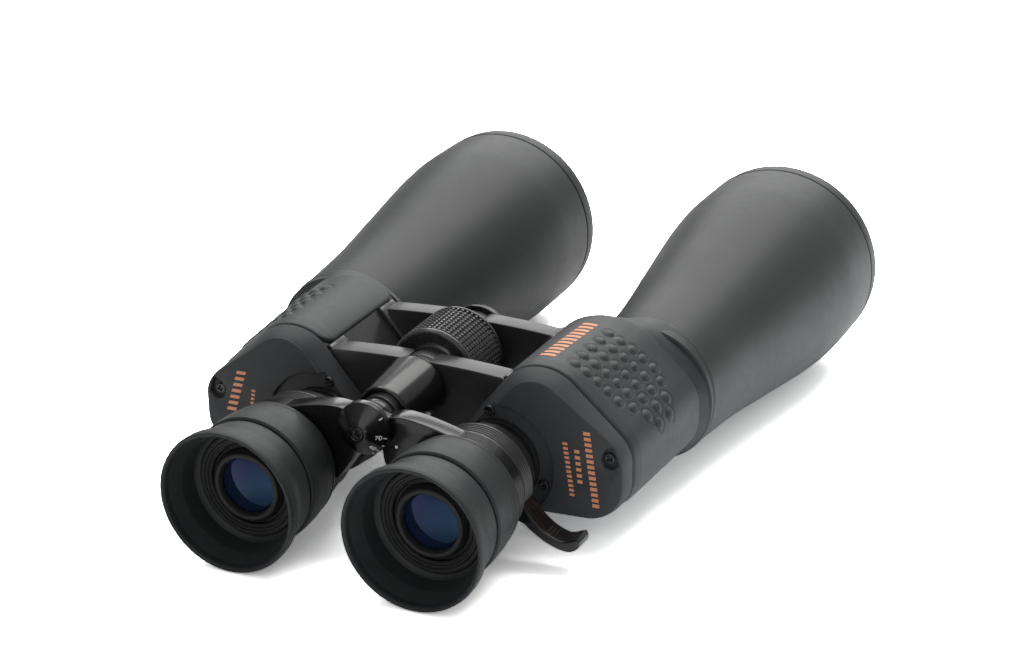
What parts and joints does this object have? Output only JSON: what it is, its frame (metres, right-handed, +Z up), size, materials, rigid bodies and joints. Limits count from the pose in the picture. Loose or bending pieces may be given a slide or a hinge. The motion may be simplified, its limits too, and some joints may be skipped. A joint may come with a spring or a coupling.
{
  "type": "astronomy binoculars",
  "caption": "Large zoom porro-prism binoculars with a centre hinge and focus wheel, a zoom lever, a dioptre ring, rubber armour and a tripod socket.",
  "frame": {"origin": "middle of the length on the centre plane, level with the underside of the objective barrels", "axes": "+Y from the eyecups to the objectives, +Z up, +X to the user's right"},
  "size_m": [0.2158, 0.3, 0.084],
  "materials": {
    "rubber_armour": "matte fine-grained rubber",
    "eyecup_rubber": "matte moulded rubber",
    "matte_plastic": "fine matte texture",
    "housing_metal": "satin black paint",
    "gloss_metal": "gloss black paint",
    "inner_metal": "matte black anodised",
    "screw_steel": "blackened steel",
    "prism_glass": "polished",
    "coated_glass": "blue antireflection coating",
    "grip_rubber": "fine square knurl"
  },
  "bodies": {
    "hinge": {"hinge_tube": "gloss_metal", "tripod_socket": "gloss_metal"},
    "right_half": {"right_barrel": "rubber_armour", "right_objective_ring": "matte_plastic", "right_objective_crown": "coated_glass", "right_objective_flint": "coated_glass", "right_prism_housing": "housing_metal", "right_armour": "rubber_armour", "right_rear_cover": "matte_plastic", "right_cover_screw_1": "screw_steel", "right_cover_screw_2": "screw_steel", "right_cover_screw_3": "screw_steel", "right_prism_rear": "prism_glass", "right_prism_front": "prism_glass", "right_prism_shelf": "inner_metal", "right_focus_guide": "inner_metal"},
    "left_half": {"left_barrel": "rubber_armour", "left_objective_ring": "matte_plastic", "left_objective_crown": "coated_glass", "left_objective_flint": "coated_glass", "left_prism_housing": "housing_metal", "left_armour": "rubber_armour", "left_rear_cover": "matte_plastic", "left_cover_screw_1": "screw_steel", "left_cover_screw_2": "screw_steel", "left_cover_screw_3": "screw_steel", "left_prism_rear": "prism_glass", "left_prism_front": "prism_glass", "left_prism_shelf": "inner_metal", "left_focus_guide": "inner_metal"},
    "right_eyepiece": {"right_bridge_arm": "gloss_metal", "right_eyepiece_tube": "inner_metal", "right_field_lens": "coated_glass"},
    "left_eyepiece": {"left_bridge_arm": "gloss_metal", "left_eyepiece_tube": "inner_metal", "left_field_lens": "coated_glass", "left_grip_ring": "matte_plastic", "left_eyecup": "eyecup_rubber", "left_eye_cell": "matte_plastic", "left_eye_lens": "coated_glass", "ipd_dial": "gloss_metal", "dial_screw": "screw_steel"},
    "right_zoom": {"right_zoom_ring": "matte_plastic"},
    "left_zoom": {"left_zoom_ring": "matte_plastic"},
    "right_zoom_group": {"right_zoom_cell": "inner_metal", "right_zoom_lens": "coated_glass"},
    "left_zoom_group": {"left_zoom_cell": "inner_metal", "left_zoom_lens": "coated_glass"},
    "right_diopter": {"right_diopter_ring": "matte_plastic", "right_eyecup": "eyecup_rubber"},
    "right_eye_group": {"right_eye_cell": "matte_plastic", "right_eye_lens": "coated_glass"},
    "focus_wheel": {"focus_wheel": "gloss_metal", "focus_grip": "grip_rubber"},
    "focus_shaft": {"focus_shaft": "screw_steel", "focus_pin": "screw_steel"},
    "tripod_cap": {"tripod_cap": "matte_plastic"}
  },
  "joints": [
    {"name": "right_fold", "type": "hinge", "parent": "hinge", "child": "right_half", "pos_m": [0, -0.046, 0.059], "axis": [0, 1, 0], "range_deg": [0, 18]},
    {"name": "left_fold", "type": "hinge", "parent": "hinge", "child": "left_half", "pos_m": [0, -0.046, 0.059], "axis": [0, 1, 0], "range_deg": [-18, 0]},
    {"name": "focus_turn", "type": "hinge", "parent": "hinge", "child": "focus_wheel", "pos_m": [0, -0.046, 0.059], "axis": [0, 1, 0], "range_deg": [-300, 105]},
    {"name": "shaft_slide", "type": "slide", "parent": "hinge", "child": "focus_shaft", "axis": [0, 1, 0], "range_m": [-0.0064, 0.0023]},
    {"name": "right_focus", "type": "slide", "parent": "right_half", "child": "right_eyepiece", "axis": [0, 1, 0], "range_m": [-0.0064, 0.0023]},
    {"name": "left_focus", "type": "slide", "parent": "left_half", "child": "left_eyepiece", "axis": [0, 1, 0], "range_m": [-0.0064, 0.0023]},
    {"name": "zoom_turn", "type": "hinge", "parent": "right_eyepiece", "child": "right_zoom", "pos_m": [0.0367, -0.097, 0.0387], "axis": [0, 1, 0], "range_deg": [-60, 15]},
    {"name": "left_zoom_turn", "type": "hinge", "parent": "left_eyepiece", "child": "left_zoom", "pos_m": [-0.0367, -0.097, 0.0387], "axis": [0, 1, 0], "range_deg": [-60.5, 15.5]},
    {"name": "right_zoom_slide", "type": "slide", "parent": "right_eyepiece", "child": "right_zoom_group", "axis": [0, 1, 0], "range_m": [-0.0064, 0.0017]},
    {"name": "left_zoom_slide", "type": "slide", "parent": "left_eyepiece", "child": "left_zoom_group", "axis": [0, 1, 0], "range_m": [-0.0064, 0.0017]},
    {"name": "diopter_turn", "type": "hinge", "parent": "right_eyepiece", "child": "right_diopter", "pos_m": [0.0367, -0.12, 0.0387], "axis": [0, 1, 0], "range_deg": [-45, 45]},
    {"name": "eye_lens_slide", "type": "slide", "parent": "right_eyepiece", "child": "right_eye_group", "axis": [0, 1, 0], "range_m": [-0.0008, 0.0008]},
    {"name": "cap_lift_off", "type": "slide", "parent": "hinge", "child": "tripod_cap", "axis": [0, 1, 0], "range_m": [0, 0.02]}
  ],
  "couplings": [
    {"joint": "left_fold", "follows": "right_fold", "ratio": -1},
    {"joint": "shaft_slide", "follows": "focus_turn", "m_per_rad": 0.0012},
    {"joint": "right_focus", "follows": "focus_turn", "m_per_rad": 0.0012},
    {"joint": "left_focus", "follows": "focus_turn", "m_per_rad": 0.0012},
    {"joint": "left_zoom_turn", "follows": "zoom_turn", "ratio": 1},
    {"joint": "right_zoom_slide", "follows": "zoom_turn", "m_per_rad": 0.006},
    {"joint": "left_zoom_slide", "follows": "zoom_turn", "m_per_rad": 0.006},
    {"joint": "eye_lens_slide", "follows": "diopter_turn", "m_per_rad": 0.001}
  ]
}
